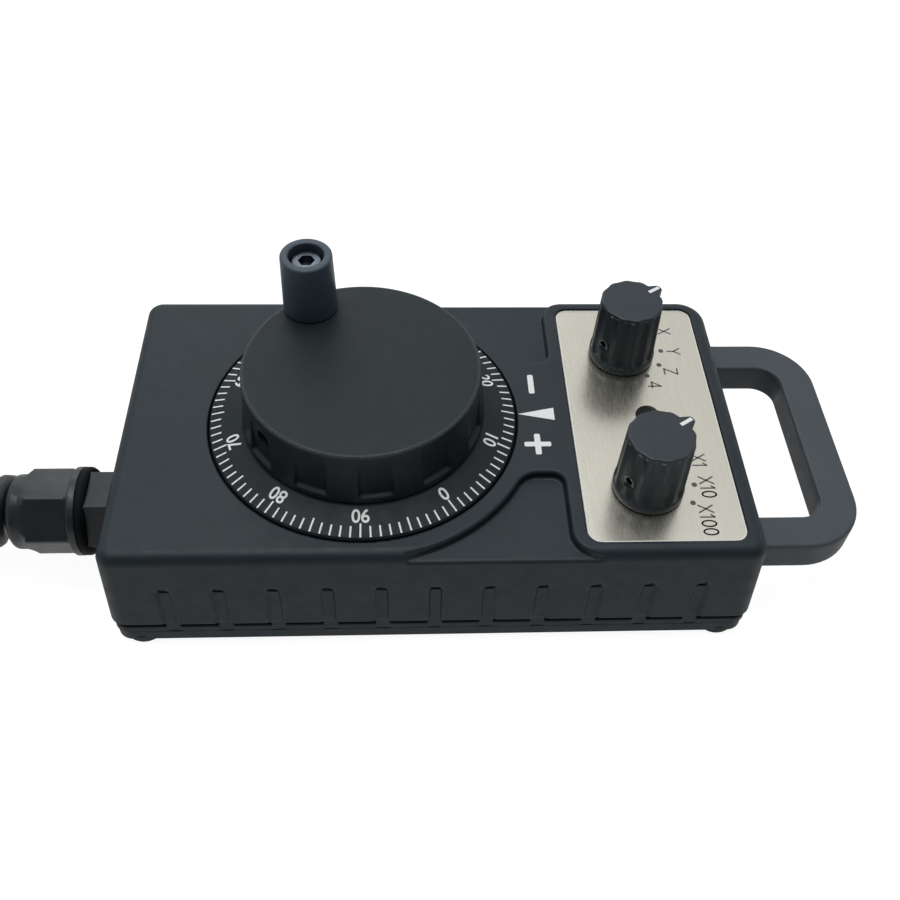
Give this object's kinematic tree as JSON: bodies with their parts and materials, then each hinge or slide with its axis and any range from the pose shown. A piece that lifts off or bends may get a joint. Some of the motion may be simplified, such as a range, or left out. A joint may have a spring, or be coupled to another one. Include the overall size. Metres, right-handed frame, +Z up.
{
  "type": "pulse generator handwheel",
  "caption": "Handheld pulse generator pendant: graduated handwheel with a crank grip, axis and step selectors on a metal plate, a carry handle and a curly cord.",
  "frame": {"origin": "under the middle of the casing, on the surface that the feet stand on", "axes": "+X towards the carry handle, +Y away from the user, +Z up"},
  "size_m": [0.3225, 0.0689, 0.0531],
  "materials": {
    "casing_plastic": "moulded ABS with a fine satin texture",
    "cover_plastic": "moulded ABS, satin",
    "handle_plastic": "moulded ABS, satin",
    "seal_rubber": "soft black rubber",
    "foot_rubber": "matt black rubber",
    "zinc_steel": "zinc-plated steel",
    "bearing_steel": "ground steel",
    "black_steel": "black-oxide steel",
    "bush_bronze": "sintered bronze",
    "plate_aluminium": "brushed and clear-anodised aluminium",
    "dark_lens": "smoked clear lens",
    "circuit_board": "green solder mask on glass-fibre board",
    "switch_plastic": "black moulded plastic",
    "encoder_plastic": "black glass-filled plastic",
    "terminal_plastic": "blue moulded plastic",
    "ribbon_pvc": "grey PVC ribbon",
    "cable_pvc": "black polyurethane cable jacket, satin",
    "gland_nylon": "black nylon",
    "disc_glass": "clear film disc",
    "dial_black": "black dial with white printed graduations",
    "knob_plastic": "black moulded plastic, satin",
    "selector_plastic": "black moulded plastic, satin",
    "connector_nickel": "nickel-plated brass"
  },
  "bodies": {
    "housing": {"housing_shell": "casing_plastic", "bottom_cover": "cover_plastic", "cover_gasket": "seal_rubber", "cover_screws": "zinc_steel", "rubber_feet": "foot_rubber", "carry_handle": "handle_plastic", "handle_screws": "zinc_steel", "face_plate": "plate_aluminium", "indicator_led": "dark_lens", "control_pcb": "circuit_board", "axis_switch": "switch_plastic", "multiplier_switch": "switch_plastic", "switch_washers": "zinc_steel", "switch_nuts": "zinc_steel", "encoder_housing": "encoder_plastic", "encoder_gasket": "seal_rubber", "encoder_screws": "zinc_steel", "encoder_rear_cap": "encoder_plastic", "encoder_cap_screws": "zinc_steel", "front_bearing": "bearing_steel", "rear_bush": "bush_bronze", "encoder_pcb": "circuit_board", "optical_sensor": "switch_plastic", "detent_magnet": "bearing_steel", "terminal_block": "terminal_plastic", "wiring_ribbon": "ribbon_pvc", "cable_lead": "cable_pvc", "gland_body": "gland_nylon", "gland_locknut": "gland_nylon", "gland_seal": "seal_rubber", "gland_clamp_nut": "gland_nylon", "curly_cord": "cable_pvc", "connector_boot": "seal_rubber", "connector_shell": "connector_nickel", "connector_ring": "connector_nickel", "connector_insert": "switch_plastic"},
    "handwheel": {"encoder_shaft": "bearing_steel", "code_disc": "disc_glass", "detent_wheel": "bearing_steel", "dial_ring": "dial_black", "dial_screws": "zinc_steel", "handwheel_knob": "knob_plastic", "knob_set_screw": "black_steel", "crank_screw": "black_steel"},
    "crank_grip_body": {"crank_grip": "knob_plastic"},
    "axis_selector": {"axis_shaft": "bearing_steel", "axis_knob": "selector_plastic", "axis_set_screw": "black_steel"},
    "multiplier_selector": {"multiplier_shaft": "bearing_steel", "multiplier_knob": "selector_plastic", "multiplier_set_screw": "black_steel"}
  },
  "joints": [
    {"name": "handwheel_spin", "type": "hinge", "parent": "housing", "child": "handwheel", "pos_m": [-0.0132, 0, 0.026], "axis": [0, 0, 1], "continuous": true},
    {"name": "crank_grip_spin", "type": "hinge", "parent": "handwheel", "child": "crank_grip_body", "pos_m": [-0.02321, 0.01603, 0.045], "axis": [0, 0, 1], "continuous": true},
    {"name": "axis_select", "type": "hinge", "parent": "housing", "child": "axis_selector", "pos_m": [0.0393, 0.017, 0.033], "axis": [0, 0, 1], "range_deg": [-90, 30]},
    {"name": "multiplier_select", "type": "hinge", "parent": "housing", "child": "multiplier_selector", "pos_m": [0.0393, -0.0178, 0.033], "axis": [0, 0, 1], "range_deg": [-60, 0]}
  ]
}
